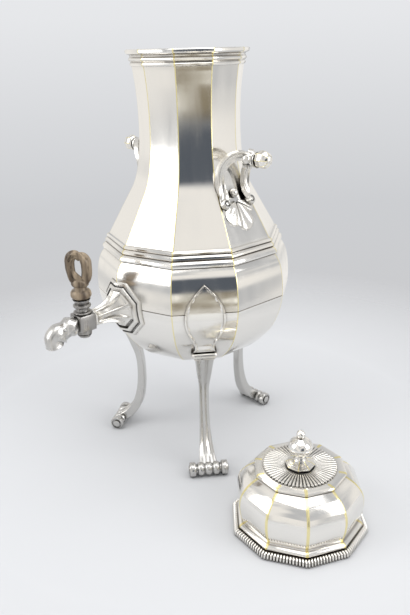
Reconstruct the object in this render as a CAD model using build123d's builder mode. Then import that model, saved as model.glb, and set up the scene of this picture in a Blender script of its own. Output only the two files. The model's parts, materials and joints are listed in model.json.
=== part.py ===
"""A ten-sided silver-plated samovar on three legs, with its tap, two side knob handles and a lift-off lid.

Frame: +Z up, origin on the table under the body's axis. The tap points along -Y and the handles along +X
and -X. The lid stands on the table beside the body, as it does while the samovar is filled. Millimetres.
"""
from build123d import *
from math import radians, tan
import os

# Body. A "flat" size is measured from the axis to the middle of one of the ten sides.
SIDES = 10
WALL = 1.4
NECK_TOP = (50.0, 389.0)
LIP_INNER = 51.8
LIP_OUTER = 55.6
LIP_TOP = 405.5
NECK_FLARE = 397.5
SHOULDER = (80.3, 234.5)
BELLY_TOP = (86.2, 219.0)
SEAM = (95.0, 177.0)
BOWL_EDGE = (36.0, 105.0)
BASE_THICK = 1.8

# Lid, measured from its own axis and the table it stands on.
LID_CENTRE = (183.4, -43.7)
LID_TURN = 11.5
LID_RIM = 59.4
LID_SEAT = 3.6
LID_CLEARANCE = 0.3
BORDER_TOP = 8.5
CROWN = (38.6, 57.6)
CROWN_TOP = 59.2
ROSETTE_RADIUS = 32.6
ROSETTE_TOP = 61.2
ROSETTE_LOBES = 60
FINIAL_STEM = 67.0
FINIAL_KNOB = (72.5, 88.0)
BALL_RADIUS = 4.0
STUD_RADIUS = 2.0

# Legs: a shield plate on the bowl, a collar, a bowed shaft and a turned roller on the table.
LEG_ANGLES = {"left": -144.0, "right": -36.0, "back": 90.0}
PLATE_THICK = 2.4
PANEL_THICK = 1.4
PLATE_TIP = 205.0
PLATE_HALF = 19.5
COLLAR = (77.6, 127.5)
ROLLER_AXLE = (92.0, 7.2)
ROLLER_RADIUS = 7.5
ROLLER_HALF = 20.5

# Side handles: a lyre of two straps that carries a faceted knob pointing outwards.
HANDLE_ANGLES = {"left": 180.0, "right": 0.0}
HANDLE_HEIGHT = 311.5
SHELL_THICK = 2.8
BRIDGE = (75.0, 82.0)
KNOB_END = 104.8

# Tap: its axis leaves the body on an edge between two sides and falls gently outwards.
TAP_ANGLE = -90.0
TAP_FALL = 4.0
ROSE_CENTRE = 173.8
ROSE_RADIUS = 27.5
PLUG_OUT = 138.0
BLOCK_LEVEL = 172.5
BLOCK_SIZE = (17.5, 17.5, 16.0)
BOSS_RADIUS = 7.6
BOSS_DROP = 4.0
PLUG_TOP_RADIUS = 6.4
PLUG_FOOT_RADIUS = 5.5
PLUG_CLEARANCE = 0.05
PLUG_GAP = 0.3
WATERWAY = 3.0
NUT_SPAN = (157.0, 159.2)
KEY_TURN = -41.25
KEY_FOOT = 194.5
KEY_TOP = 241.2
TANG_RADIUS = 2.5

HALF_SIDE = 180 / SIDES
AWAY = 140.0
os.makedirs("parts", exist_ok=True)


def write(piece, name):
    """Label a finished piece and write it under that name."""
    piece.label = name
    export_step(piece, f"parts/{name}.step")


def faceted(section, sides=SIDES):
    """A faceted solid round the Z axis: the section drawn out sideways, mitred and repeated."""
    half = AWAY * tan(radians(180 / sides))
    with BuildPart() as side:
        with BuildSketch():
            with BuildLine():
                Polyline((0, 0), (AWAY, -half), (AWAY, half), (0, 0))
            make_face()
        extrude(amount=5 * AWAY, both=True)
        extrude(section, amount=half, both=True, mode=Mode.INTERSECT)
    with BuildPart() as whole:
        with PolarLocations(0, sides):
            add(side.part)
    return whole.part


def section_of(*outline):
    """A closed face in the plane of one side's section, from its corner points."""
    with BuildSketch(Plane.XZ) as face:
        with BuildLine():
            Polyline(*outline, outline[0])
        make_face()
    return face.sketch


def turned(*outline):
    """A solid turned round the Z axis from (radius, height) corner points."""
    with BuildPart() as solid:
        with BuildSketch(Plane.XZ):
            with BuildLine():
                Polyline(*outline, outline[0])
            make_face()
        revolve(axis=Axis.Z)
    return solid.part


def outward(piece, height, fall=0.0, out=0.0):
    """Lay a piece made along +Z so that it points along +X at a height, dipping by a fall in degrees."""
    return Pos(out, 0, height) * Rot(0, 90 + fall, 0) * piece


# The outside of the body in section, from the neck's flare down to the edge of its foot
with BuildLine() as outline:
    flare_run = Line((LIP_INNER, NECK_FLARE), NECK_TOP)
    neck_run = Spline(NECK_TOP, (46.8, 345), (49.6, 300), (61.2, 270), SHOULDER)
    slope_run = Line(SHOULDER, BELLY_TOP)
    belly_run = Spline(BELLY_TOP, (91.9, 209), (94.6, 193), SEAM)
    bowl_run = Spline(SEAM, (90.9, 157), (77.9, 133), (55.6, 113), BOWL_EDGE)
runs = (flare_run, neck_run, slope_run, belly_run, bowl_run)


def moved(run, where, depth):
    """The point part of the way along a run of the outline, moved square to it, inwards, by a depth."""
    point, along = run @ where, run % where
    return (point.X + depth * along.Y, point.Y - depth * along.X)


def corner(index, depth):
    """The point where two runs of the outline meet, moved inwards along their mitre."""
    before = runs[index - 1] % 1 if index > 0 else runs[0] % 0
    after = runs[index] % 0 if index < len(runs) else runs[-1] % 1
    point = runs[index] @ 0 if index < len(runs) else runs[-1] @ 1
    mitre = (before + after).normalized()
    reach = depth / mitre.dot(before)
    return (point.X + reach * mitre.Y, point.Y - reach * mitre.X)


def strip(depth):
    """The strip of the body's section between its outside and a depth inside it (or outside, if negative)."""
    with BuildSketch(Plane.XZ) as face:
        with BuildLine():
            add(outline.line)
            for index, run in enumerate(runs):
                if run in (flare_run, slope_run):
                    Line(corner(index, depth), corner(index + 1, depth))
                else:
                    between = [moved(run, step / 8, depth) for step in range(1, 8)]
                    Spline(corner(index, depth), *between, corner(index + 1, depth))
            Line(outline.line @ 0, corner(0, depth))
            Line(BOWL_EDGE, corner(len(runs), depth))
        make_face()
    return face.sketch


# The body's filled outline, which every fitting is cut back to
with BuildSketch(Plane.XZ) as core_section:
    with BuildLine():
        add(outline.line)
        Polyline(BOWL_EDGE, (0, BOWL_EDGE[1]), (0, NECK_FLARE), (LIP_INNER, NECK_FLARE))
    make_face()
core = faceted(core_section.sketch)
wall = faceted(strip(WALL))
plate_skin = faceted(strip(-PLATE_THICK))
panel_skin = faceted(strip(-PANEL_THICK))


# Body: the neck and shoulder shell, the lower bowl soldered to it, and what is soldered round them
with BuildPart() as body_shell:
    add(wall)
    with Locations((0, 0, SEAM[1] - AWAY)):
        Box(2 * AWAY, 2 * AWAY, 2 * AWAY, mode=Mode.SUBTRACT)

with BuildPart() as lower_bowl:
    add(wall)
    with Locations((0, 0, SEAM[1])):
        Box(2 * AWAY, 2 * AWAY, 4 * AWAY, align=(Align.CENTER, Align.CENTER, Align.MIN), mode=Mode.SUBTRACT)

with BuildPart() as base_plate:
    with BuildSketch(Plane.XY.offset(BOWL_EDGE[1] - BASE_THICK)):
        RegularPolygon(BOWL_EDGE[0], SIDES, major_radius=False, rotation=HALF_SIDE)
    extrude(amount=BASE_THICK)

lip_ring = faceted(section_of(
    (LIP_INNER - WALL, LIP_TOP), (LIP_INNER - WALL, NECK_FLARE), (LIP_INNER - WALL / 2, NECK_FLARE),
    (49.6, 391.0), (52.2, 391.0), (53.0, 392.2), (53.0, 393.6), (51.8, 394.4), (53.2, 395.0), (54.0, 396.2),
    (54.0, 397.6), (53.0, 398.6), (53.0, 400.8), (LIP_OUTER - 1.0, 401.4), (LIP_OUTER, 402.6),
    (LIP_OUTER, LIP_TOP)))

band = faceted(section_of(
    (81.0, 233.6), (82.8, 233.6), (82.8, 230.8), (84.6, 229.4), (84.6, 225.6), (86.6, 224.2),
    (88.2, 222.2), (88.2, 219.0), (81.0, 219.0)))
with BuildPart() as band_moulding:
    add(band)
    add(core, mode=Mode.SUBTRACT)

with BuildPart() as lip_moulding:
    add(lip_ring)
    add(wall, mode=Mode.SUBTRACT)

write(base_plate.part, "base_plate")
write(lip_moulding.part, "lip_moulding")
write(band_moulding.part, "band_moulding")

# Legs, each made along +X and turned into place
with BuildSketch(Plane.YZ) as shield:
    with BuildLine():
        side_line = Spline((0, PLATE_TIP), (11.0, 194), (PLATE_HALF, 172), (14.6, 152), (9.5, 137), (11.5, 131.4))
        mirror(side_line, about=Plane.YZ)
        Line((11.5, 131.4), (-11.5, 131.4))
    make_face()

with BuildSketch(Plane.YZ) as shield_panel:
    with BuildLine():
        panel_line = Spline((0, PLATE_TIP - 9), (9.0, 190), (PLATE_HALF - 4, 172), (10.6, 152), (5.0, 139))
        mirror(panel_line, about=Plane.YZ)
        Line((5.0, 139), (-5.0, 139))
    make_face()

with BuildSketch(Plane.XZ) as shaft_side:
    with BuildLine():
        Spline((81.5, 123.6), (74.0, 104), (68.2, 76), (69.6, 50), (76.5, 28), (92.0, 13.5))
        Line((92.0, 13.5), (88.0, 4.0))
        Spline((88.0, 4.0), (76.5, 13), (65.0, 30), (60.6, 54), (60.2, 78), (65.2, 104), (67.0, 117))
        Line((67.0, 117), (71.5, 123.6))
        Line((71.5, 123.6), (81.5, 123.6))
    make_face()

with BuildSketch(Plane.YZ) as shaft_front:
    with BuildLine():
        shaft_line = Spline((10.5, 123.6), (9.0, 114), (4.6, 92), (4.0, 66), (5.2, 40), (7.6, 14), (8.2, 2))
        mirror(shaft_line, about=Plane.YZ)
        Line((10.5, 123.6), (-10.5, 123.6))
        Line((8.2, 2), (-8.2, 2))
    make_face()

with BuildPart() as leg_shaft:
    extrude(shaft_side.sketch, amount=15, both=True)
    extrude(shaft_front.sketch, amount=AWAY, mode=Mode.INTERSECT)

roller_half = turned(
    (0, 0), (6.0, 0), (6.0, 8.4), (7.0, 8.8), (7.0, 10.4), (5.8, 10.8), (5.8, 11.6), (7.0, 12.0), (7.0, 13.6),
    (6.0, 14.0), (6.0, 14.8), (ROLLER_RADIUS, 15.2), (ROLLER_RADIUS, 18.8), (6.6, 19.4),
    (4.4, 19.4), (3.6, ROLLER_HALF), (0, ROLLER_HALF))
with BuildPart() as roller:
    with Locations(Pos(ROLLER_AXLE[0], 0, ROLLER_AXLE[1]) * Rot(90, 0, 0),
                   Pos(ROLLER_AXLE[0], 0, ROLLER_AXLE[1]) * Rot(-90, 0, 0)):
        add(roller_half)
    with Locations((ROLLER_AXLE[0], 0, 0)):
        Box(50, 50, 20, align=(Align.CENTER, Align.CENTER, Align.MAX), mode=Mode.SUBTRACT)

for name, angle in LEG_ANGLES.items():
    body_here = Rot(0, 0, -angle) * core
    plate_here = Rot(0, 0, -angle) * plate_skin
    panel_here = Rot(0, 0, -angle) * panel_skin
    with BuildPart() as panel:
        extrude(shield_panel.sketch, amount=AWAY)
        add(panel_here, mode=Mode.INTERSECT)
    with BuildPart() as plate:
        extrude(shield.sketch, amount=AWAY)
        extrude(shield_panel.sketch, amount=AWAY, mode=Mode.SUBTRACT)
        add(plate_here, mode=Mode.INTERSECT)
        add(panel.part)
    with BuildPart() as collar:
        with BuildSketch(Plane.XZ):
            with Locations(COLLAR):
                RectangleRounded(13.0, 7.6, 2.6)
        extrude(amount=12.2, both=True)
        add(body_here, mode=Mode.SUBTRACT)
        add(plate.part, mode=Mode.SUBTRACT)
    with BuildPart() as shaft:
        add(leg_shaft.part)
        add(body_here, mode=Mode.SUBTRACT)
        add(roller.part, mode=Mode.SUBTRACT)
    write(Rot(0, 0, angle) * plate.part, f"leg_plate_{name}")
    write(Rot(0, 0, angle) * collar.part, f"leg_collar_{name}")
    write(Rot(0, 0, angle) * shaft.part, f"leg_shaft_{name}")
    write(Rot(0, 0, angle) * roller.part, f"leg_roller_{name}")

# Side handles, each made along +X and turned into place
shell_skin = faceted(strip(-SHELL_THICK))
with BuildPart() as handle_shell:
    with BuildSketch(Plane.YZ):
        with Locations((0, 256)):
            Ellipse(9.0, 11.0)
        with Locations((9.2, 262.5), (-9.2, 262.5)):
            Ellipse(8.4, 7.4)
    extrude(amount=AWAY)
    add(shell_skin, mode=Mode.INTERSECT)

with BuildPart() as handle_bridge:
    with BuildSketch(Plane.YZ.offset(BRIDGE[0])):
        with Locations((0, HANDLE_HEIGHT - 1.5)):
            RectangleRounded(15.0, 15.0, 4.5)
    extrude(amount=BRIDGE[1] - BRIDGE[0])

with BuildPart() as handle_rivet:
    with Locations((58.6, 0, 279.0)):
        Sphere(4.4)
    add(core, mode=Mode.SUBTRACT)
    add(handle_shell.part, mode=Mode.SUBTRACT)

with BuildPart() as strap_far:
    with BuildLine() as strap_path:
        Spline((61.5, 14.6, 272.0), (57.4, 16.4, 287.0), (60.4, 16.9, 301.0), (69.5, 13.0, 312.5), (76.5, 5.0, 314.0))
    with BuildSketch(strap_path.line ^ 0):
        Ellipse(3.6, 2.6)
    sweep()
    with Locations(Pos(63.6, 15.6, 270.4) * Rot(0, 62, 0)):
        Cylinder(4.6, 6.0)
    add(core, mode=Mode.SUBTRACT)
    add(handle_shell.part, mode=Mode.SUBTRACT)
    add(handle_bridge.part, mode=Mode.SUBTRACT)
strap_near = mirror(strap_far.part, about=Plane.XZ)

handle_collar = outward(turned(
    (0, 0), (6.6, 0), (7.2, 1.2), (6.6, 2.4), (4.4, 3.2), (4.4, 5.0), (7.4, 5.6), (8.0, 6.8), (7.4, 8.0), (0, 8.0)),
    HANDLE_HEIGHT, out=BRIDGE[1])

knob_depth = KNOB_END - BRIDGE[1] - 8.0
with BuildSketch(Plane.XZ) as knob_section:
    with BuildLine():
        Spline((6.4, 0), (8.4, 4.4), (7.4, 9.0), (3.6, knob_depth - 1.0), (0, knob_depth),
               tangents=((0.3, 1), (-1, 0)))
        Polyline((0, knob_depth), (0, 0), (6.4, 0))
    make_face()
handle_knob = outward(faceted(knob_section.sketch, 8), HANDLE_HEIGHT, out=BRIDGE[1] + 8.0)

for name, angle in HANDLE_ANGLES.items():
    write(Rot(0, 0, angle) * handle_shell.part, f"handle_shell_{name}")
    write(Rot(0, 0, angle) * handle_rivet.part, f"handle_rivet_{name}")
    write(Rot(0, 0, angle) * strap_far.part, f"handle_strap_ccw_{name}")
    write(Rot(0, 0, angle) * strap_near, f"handle_strap_cw_{name}")
    write(Rot(0, 0, angle) * handle_bridge.part, f"handle_bridge_{name}")
    write(Rot(0, 0, angle) * handle_collar, f"handle_collar_{name}")
    write(Rot(0, 0, angle) * handle_knob, f"handle_knob_{name}")

# Tap, made along +X and turned to the front
edge_out = Rot(0, 0, HALF_SIDE)
edge_core = edge_out * core
rose_skin = edge_out * plate_skin
fall_line = outward(turned((0, 0), (WATERWAY, 0), (WATERWAY, 56), (0, 56)), ROSE_CENTRE + 2.0, TAP_FALL, 86)

with BuildPart() as tap_rose:
    with BuildSketch(Plane.YZ.offset(60)):
        with Locations((0, ROSE_CENTRE)):
            RegularPolygon(ROSE_RADIUS, 8, major_radius=False, rotation=22.5)
    extrude(amount=80)
    add(rose_skin, mode=Mode.INTERSECT)
    add(fall_line, mode=Mode.SUBTRACT)

block_head = BLOCK_LEVEL + BLOCK_SIZE[2] / 2
block_foot = BLOCK_LEVEL - BLOCK_SIZE[2] / 2 - BOSS_DROP
with BuildPart() as tap_block:
    with Locations((PLUG_OUT, 0, BLOCK_LEVEL)):
        Box(*BLOCK_SIZE)
    fillet(tap_block.edges().filter_by(Axis.Z), 1.2)
    with Locations((PLUG_OUT, 0, block_foot)):
        Cylinder(BOSS_RADIUS, BOSS_DROP, align=(Align.CENTER, Align.CENTER, Align.MIN))
    with BuildSketch(Plane.XY.offset(block_foot)) as bore_foot:
        with Locations((PLUG_OUT, 0)):
            Circle(PLUG_FOOT_RADIUS + PLUG_CLEARANCE)
    with BuildSketch(Plane.XY.offset(block_head)) as bore_head:
        with Locations((PLUG_OUT, 0)):
            Circle(PLUG_TOP_RADIUS + PLUG_CLEARANCE)
    loft(mode=Mode.SUBTRACT)
    with Locations(Pos(PLUG_OUT, 0, BLOCK_LEVEL) * Rot(0, 90, 0)):
        Cylinder(WATERWAY, 2 * BLOCK_SIZE[0], mode=Mode.SUBTRACT)

with BuildSketch(Plane.XZ) as trumpet_section:
    with BuildLine():
        Spline((22.0, 0), (16.0, 6.5), (10.4, 14.5), (8.2, 25.0), (7.2, 36.5))
        Polyline((7.2, 36.5), (8.0, 37.6), (8.0, 50), (0, 50), (0, 0), (22.0, 0))
    make_face()
with BuildPart() as tap_trumpet:
    add(outward(faceted(trumpet_section.sketch, 8), ROSE_CENTRE + 2.0, TAP_FALL, 89))
    add(edge_core, mode=Mode.SUBTRACT)
    add(tap_rose.part, mode=Mode.SUBTRACT)
    add(rose_skin, mode=Mode.SUBTRACT)
    with Locations((PLUG_OUT - BLOCK_SIZE[0] / 2, 0, BLOCK_LEVEL)):
        Box(60, 60, 60, align=(Align.MIN, Align.CENTER, Align.CENTER), mode=Mode.SUBTRACT)
    add(fall_line, mode=Mode.SUBTRACT)

spout_root = PLUG_OUT + BLOCK_SIZE[0] / 2
with BuildPart() as tap_spout:
    with BuildSketch(Plane.XZ):
        with BuildLine():
            Polyline((spout_root, 166.0), (spout_root, 180.2), (154, 180.8), (161, 179.0))
            Spline((161, 179.0), (168, 179.0), (173.5, 175.5), (177, 168.5))
            Polyline((177, 168.5), (177.5, 160.5), (162.4, 152.6), (157, 159.5))
            Spline((157, 159.5), (152.5, 163.2), (spout_root, 166.0))
        make_face()
    extrude(amount=7.6, both=True)
    fillet(tap_spout.edges().filter_by(Axis.Y).sort_by(Axis.Z)[-3:], 1.2)
    with BuildLine() as spout_path:
        Line((spout_root - 1, 0, BLOCK_LEVEL), (158, 0, BLOCK_LEVEL))
        Line((158, 0, BLOCK_LEVEL), (171.6, 0, 153.0))
    with BuildSketch(Plane.YZ.offset(spout_root - 1)):
        with Locations((0, BLOCK_LEVEL)):
            Circle(WATERWAY)
    sweep(transition=Transition.ROUND, mode=Mode.SUBTRACT)

with BuildPart() as front_shell:
    add(edge_out * body_shell.part)
    add(fall_line, mode=Mode.SUBTRACT)
with BuildPart() as front_bowl:
    add(edge_out * lower_bowl.part)
    add(fall_line, mode=Mode.SUBTRACT)

for name, piece in (("tap_rose", tap_rose.part), ("tap_trumpet", tap_trumpet.part), ("tap_block", tap_block.part),
                    ("tap_spout", tap_spout.part), ("body_shell", front_shell.part),
                    ("lower_bowl", front_bowl.part)):
    write(Rot(0, 0, TAP_ANGLE) * piece, name)

# Plug and key, on the vertical axis through the block
stub = 3.4
with BuildPart() as plug:
    add(turned((0, NUT_SPAN[0] - 0.4), (stub, NUT_SPAN[0] - 0.4), (stub, block_foot - PLUG_GAP),
               (PLUG_FOOT_RADIUS, block_foot - PLUG_GAP), (PLUG_FOOT_RADIUS, block_foot),
               (PLUG_TOP_RADIUS, block_head), (PLUG_TOP_RADIUS, block_head + PLUG_GAP),
               (5.4, block_head + PLUG_GAP), (5.4, KEY_FOOT), (TANG_RADIUS, KEY_FOOT),
               (TANG_RADIUS, KEY_FOOT + 12), (0, KEY_FOOT + 12)))
    with Locations(Pos(0, 0, BLOCK_LEVEL) * Rot(0, 90, 0) * Rot(90, 0, 0)):
        Cylinder(WATERWAY, 30, mode=Mode.SUBTRACT)

plug_collar = turned(
    (5.4, block_head + PLUG_GAP), (8.4, block_head + PLUG_GAP), (8.4, 182.6), (6.8, 183.6), (6.6, 186.2),
    (8.2, 187.2), (8.2, 189.2), (6.4, 190.2), (8.2, KEY_FOOT), (5.4, KEY_FOOT))
plug_washer = turned((stub, NUT_SPAN[1]), (6.6, NUT_SPAN[1]), (6.6, block_foot - PLUG_GAP),
                     (stub, block_foot - PLUG_GAP))
with BuildPart() as plug_nut:
    with BuildSketch(Plane.XY.offset(NUT_SPAN[0])):
        RegularPolygon(5.2, 6, major_radius=False)
        Circle(stub, mode=Mode.SUBTRACT)
    extrude(amount=NUT_SPAN[1] - NUT_SPAN[0])

with BuildPart() as key_handle:
    add(turned((0, KEY_FOOT), (8.0, KEY_FOOT), (9.5, 197), (9.5, 201), (7.6, 204.4), (5.2, 207), (6.6, 211),
               (5.6, 216), (0, 216)))
    with BuildSketch(Plane.XZ.offset(-4.2)):
        with Locations((0, 226.6)):
            Ellipse(12.2, KEY_TOP - 226.6)
    extrude(amount=8.4)
    with BuildSketch(Plane.XZ.offset(-10)):
        with Locations((0, 227.2)):
            Ellipse(3.2, 6.0)
    extrude(amount=20, mode=Mode.SUBTRACT)
    with Locations((0, 0, KEY_FOOT)):
        Cylinder(TANG_RADIUS, 12, align=(Align.CENTER, Align.CENTER, Align.MIN), mode=Mode.SUBTRACT)

plug_place = Rot(0, 0, TAP_ANGLE) * Pos(PLUG_OUT, 0, 0)
write(plug_place * Rot(0, 0, 90) * plug.part, "plug")
write(plug_place * plug_collar, "plug_collar")
write(plug_place * plug_washer, "plug_washer")
write(plug_place * plug_nut.part, "plug_nut")
write(Pos(0, -PLUG_OUT, 0) * Rot(0, 0, 90 + KEY_TURN) * key_handle.part, "key_handle")

# Lid, made on its own axis and stood on the table
seat_flat = LIP_OUTER + LID_CLEARANCE
ledge_flat = LIP_INNER - WALL
lid_border = faceted(section_of(
    (seat_flat, 0), (LID_RIM, 0), (LID_RIM, 2.2), (58.4, 5.4), (55.4, BORDER_TOP), (ledge_flat, BORDER_TOP),
    (ledge_flat, LID_SEAT), (seat_flat, LID_SEAT)))

with BuildSketch(Plane.XZ) as dome_section:
    with BuildLine():
        dome_line = Spline((51.2, BORDER_TOP), (52.4, 14), (54.7, 31), (51.6, 43.5), (45.6, 50.6), (CROWN[0], 55.6))
        Line((CROWN[0], 55.6), (CROWN[0], CROWN_TOP))
        Line((CROWN[0], CROWN_TOP), (STUD_RADIUS, CROWN_TOP))
        Line((STUD_RADIUS, CROWN_TOP), (STUD_RADIUS, CROWN[1]))
        Line((STUD_RADIUS, CROWN[1]), (37.0, CROWN[1]))
        Line((37.0, CROWN[1]), (37.0, 54.6))
        Spline((37.0, 54.6), (44.6, 49.4), (50.4, 42.8), (53.4, 31), (51.2, 14.4), (50.0, BORDER_TOP))
        Line((50.0, BORDER_TOP), (51.2, BORDER_TOP))
    make_face()
lid_dome = faceted(dome_section.sketch)

with BuildPart() as lid_rosette:
    with BuildSketch(Plane.XY.offset(CROWN_TOP)):
        Circle(ROSETTE_RADIUS - 1.5)
        with PolarLocations(ROSETTE_RADIUS - 1.5, ROSETTE_LOBES):
            Circle(1.5)
        Circle(STUD_RADIUS, mode=Mode.SUBTRACT)
    extrude(amount=ROSETTE_TOP - CROWN_TOP)

finial_base = faceted(section_of(
    (STUD_RADIUS, ROSETTE_TOP), (12.0, ROSETTE_TOP), (12.0, 63.4), (10.2, 64.2), (8.6, 65.4), (8.6, FINIAL_STEM),
    (STUD_RADIUS, FINIAL_STEM)), 8)

with BuildSketch(Plane.XZ) as finial_section:
    with BuildLine():
        Polyline((STUD_RADIUS, FINIAL_STEM), (4.4, FINIAL_STEM), (3.6, 69.6), (5.4, FINIAL_KNOB[0]))
        Spline((5.4, FINIAL_KNOB[0]), (10.3, 77.4), (9.2, 83.0), (3.2, 87.2))
        Polyline((3.2, 87.2), (2.4, FINIAL_KNOB[1]), (0, FINIAL_KNOB[1]), (0, 74.0), (STUD_RADIUS, 74.0),
                 (STUD_RADIUS, FINIAL_STEM))
    make_face()
finial_knob = faceted(finial_section.sketch, 8)

with BuildPart() as finial_ball:
    with Locations((0, 0, 91.0)):
        Sphere(BALL_RADIUS)
    add(finial_knob, mode=Mode.SUBTRACT)

finial_stud = turned((0, 50.6), (STUD_RADIUS, 50.6), (STUD_RADIUS, 74.0), (0, 74.0))
with BuildPart() as finial_nut:
    with BuildSketch(Plane.XY.offset(53.4)):
        RegularPolygon(5.2, 6, major_radius=False)
        Circle(STUD_RADIUS, mode=Mode.SUBTRACT)
    extrude(amount=CROWN[1] - 53.4)

lid_place = Pos(LID_CENTRE[0], LID_CENTRE[1], 0) * Rot(0, 0, LID_TURN)
for name, piece in (("lid_border", lid_border), ("lid_dome", lid_dome), ("lid_rosette", lid_rosette.part),
                    ("finial_base", finial_base), ("finial_knob", finial_knob),
                    ("finial_ball", finial_ball.part), ("finial_stud", finial_stud),
                    ("finial_nut", finial_nut.part)):
    write(lid_place * piece, name)
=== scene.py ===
# %% [markdown]
# # A ten-sided samovar
# A silver-plated table urn: ten flat gores rise from a round-bellied bowl to a tall straight neck. It stands
# on three bowed legs with turned rollers, and it has two side knobs, a tap with a carved wooden key, and a
# lid that stands beside it on the table. Sizes here are in millimetres; one helper turns them into metres.

# %% Load the frame
import json
import math

import bmesh
import bpy
from mathutils import Matrix, Vector


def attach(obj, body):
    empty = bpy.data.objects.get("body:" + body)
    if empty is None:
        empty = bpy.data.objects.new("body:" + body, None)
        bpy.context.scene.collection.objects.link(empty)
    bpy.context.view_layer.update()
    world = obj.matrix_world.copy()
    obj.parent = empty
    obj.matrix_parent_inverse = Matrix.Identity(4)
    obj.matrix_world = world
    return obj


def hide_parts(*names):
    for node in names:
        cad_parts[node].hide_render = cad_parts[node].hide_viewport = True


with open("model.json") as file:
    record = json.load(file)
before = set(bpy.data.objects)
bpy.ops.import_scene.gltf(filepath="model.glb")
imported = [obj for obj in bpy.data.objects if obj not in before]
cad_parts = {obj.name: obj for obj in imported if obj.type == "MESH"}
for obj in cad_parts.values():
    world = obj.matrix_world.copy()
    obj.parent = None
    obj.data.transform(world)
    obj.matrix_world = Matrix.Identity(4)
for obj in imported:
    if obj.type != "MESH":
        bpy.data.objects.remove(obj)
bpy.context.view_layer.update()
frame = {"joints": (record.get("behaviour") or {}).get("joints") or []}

# %% [markdown]
# ## Finishes
# Old silver plate is never an even mirror. Hand polishing leaves fine upright streaks, hollows keep a dark
# tarnish, and on the corners the plate is worn through to a warm yellow metal. A painted map would fit one
# shape only, so every metal here is made of noise in the piece's own coordinates and of ambient occlusion,
# which tells how closed in a spot is.

# %% Shader helpers
def feed(tree, socket, value):
    """Set a socket to a value, or link it to another node's output."""
    if isinstance(value, bpy.types.NodeSocket):
        tree.links.new(value, socket)
    else:
        socket.default_value = value


def node(tree, kind, inputs=None, **settings):
    """A new shader node, with its settings made before its inputs are fed."""
    made = tree.nodes.new(kind)
    for name, value in settings.items():
        setattr(made, name, value)
    for name, value in (inputs or {}).items():
        feed(tree, made.inputs[name], value)
    return made


def noise(tree, scale, stretch, detail=4.0):
    """A noise in object coordinates, stretched along an axis."""
    place = node(tree, "ShaderNodeTexCoord").outputs["Object"]
    stretched = node(tree, "ShaderNodeMapping", {"Vector": place, "Scale": stretch}).outputs["Vector"]
    cloud = node(tree, "ShaderNodeTexNoise", {"Vector": stretched, "Scale": scale, "Detail": detail})
    return cloud.outputs["Fac"]


def spread(tree, value, low, high, start=0.3, end=0.7):
    """A value moved from the range start to end, to the range low to high."""
    limits = {"Value": value, "From Min": start, "From Max": end, "To Min": low, "To Max": high}
    return node(tree, "ShaderNodeMapRange", limits).outputs["Result"]


def blend(tree, factor, a, b):
    """A mix of two colours."""
    return node(tree, "ShaderNodeMix", {"Factor": factor, "A": a, "B": b}, data_type="RGBA").outputs["Result"]


def bump(tree, shader, value, strength, depth):
    """Small relief from a noise."""
    relief = node(tree, "ShaderNodeBump", {"Strength": strength, "Distance": depth, "Height": value})
    feed(tree, shader.inputs["Normal"], relief.outputs["Normal"])


def material(name, base, metallic, roughness):
    """A new material and its principled shader."""
    made = bpy.data.materials.new(name)
    made.use_nodes = True
    shader = made.node_tree.nodes["Principled BSDF"]
    shader.inputs["Base Color"].default_value = (*base, 1)
    shader.inputs["Metallic"].default_value = metallic
    shader.inputs["Roughness"].default_value = roughness
    return made, shader


print("shader helpers ready")

# %% [markdown]
# ### The metals
# The five metals differ in tone, in how dark their hollows are, and in how dull they are. Raised plate is the
# brightest, cast ornament keeps more tarnish, the legs and spout are polished least and their lower tone is
# painted shade, and the tap's metal is bare and grey. A slow bump, up to a fifth of a millimetre deep, bends
# the reflections as hammered sheet does.

# %% Plate, ornament, castings, worn corners and tap metal
TARNISH_REACH = 0.006
CAST_HOLLOW = (0.03, 0.027, 0.024)


def plate(name, tone, hollow_tone, dullness, wave):
    """A metal with streaky polish, tarnish in its hollows and a slow waviness."""
    made, shader = material(name, tone, 1.0, dullness[0])
    tree = made.node_tree
    streaks = noise(tree, 60, (1, 1, 0.12))
    feed(tree, shader.inputs["Roughness"], spread(tree, streaks, *dullness))
    hollow = node(tree, "ShaderNodeAmbientOcclusion", {"Distance": TARNISH_REACH}, samples=6)
    openness = spread(tree, hollow.outputs["AO"], 0.0, 1.0, 0.35, 0.85)
    feed(tree, shader.inputs["Base Color"], blend(tree, openness, (*hollow_tone, 1), (*tone, 1)))
    bump(tree, shader, noise(tree, 22, (1, 1, 0.6), 2.0), 0.5, wave)
    return made


silver = plate("silver plate", (0.86, 0.84, 0.80), (0.12, 0.10, 0.08), (0.06, 0.20), 0.0002)
ornament = plate("cast silver ornament", (0.76, 0.74, 0.70), CAST_HOLLOW, (0.17, 0.32), 0.00008)
# Painted shade: this lower tone stands for shade on the legs, rollers and spout, which are the same silver as
# the ornament.
cast = plate("dull cast legs", (0.60, 0.59, 0.57), CAST_HOLLOW, (0.18, 0.32), 0.0001)
worn = plate("worn corners", (0.88, 0.79, 0.44), (0.20, 0.14, 0.07), (0.16, 0.34), 0.0002)
grey_metal = plate("dull tap metal", (0.36, 0.35, 0.34), (0.04, 0.036, 0.03), (0.26, 0.42), 0.0002)
print("metals:", [m.name for m in (silver, ornament, cast, worn, grey_metal)])
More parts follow.
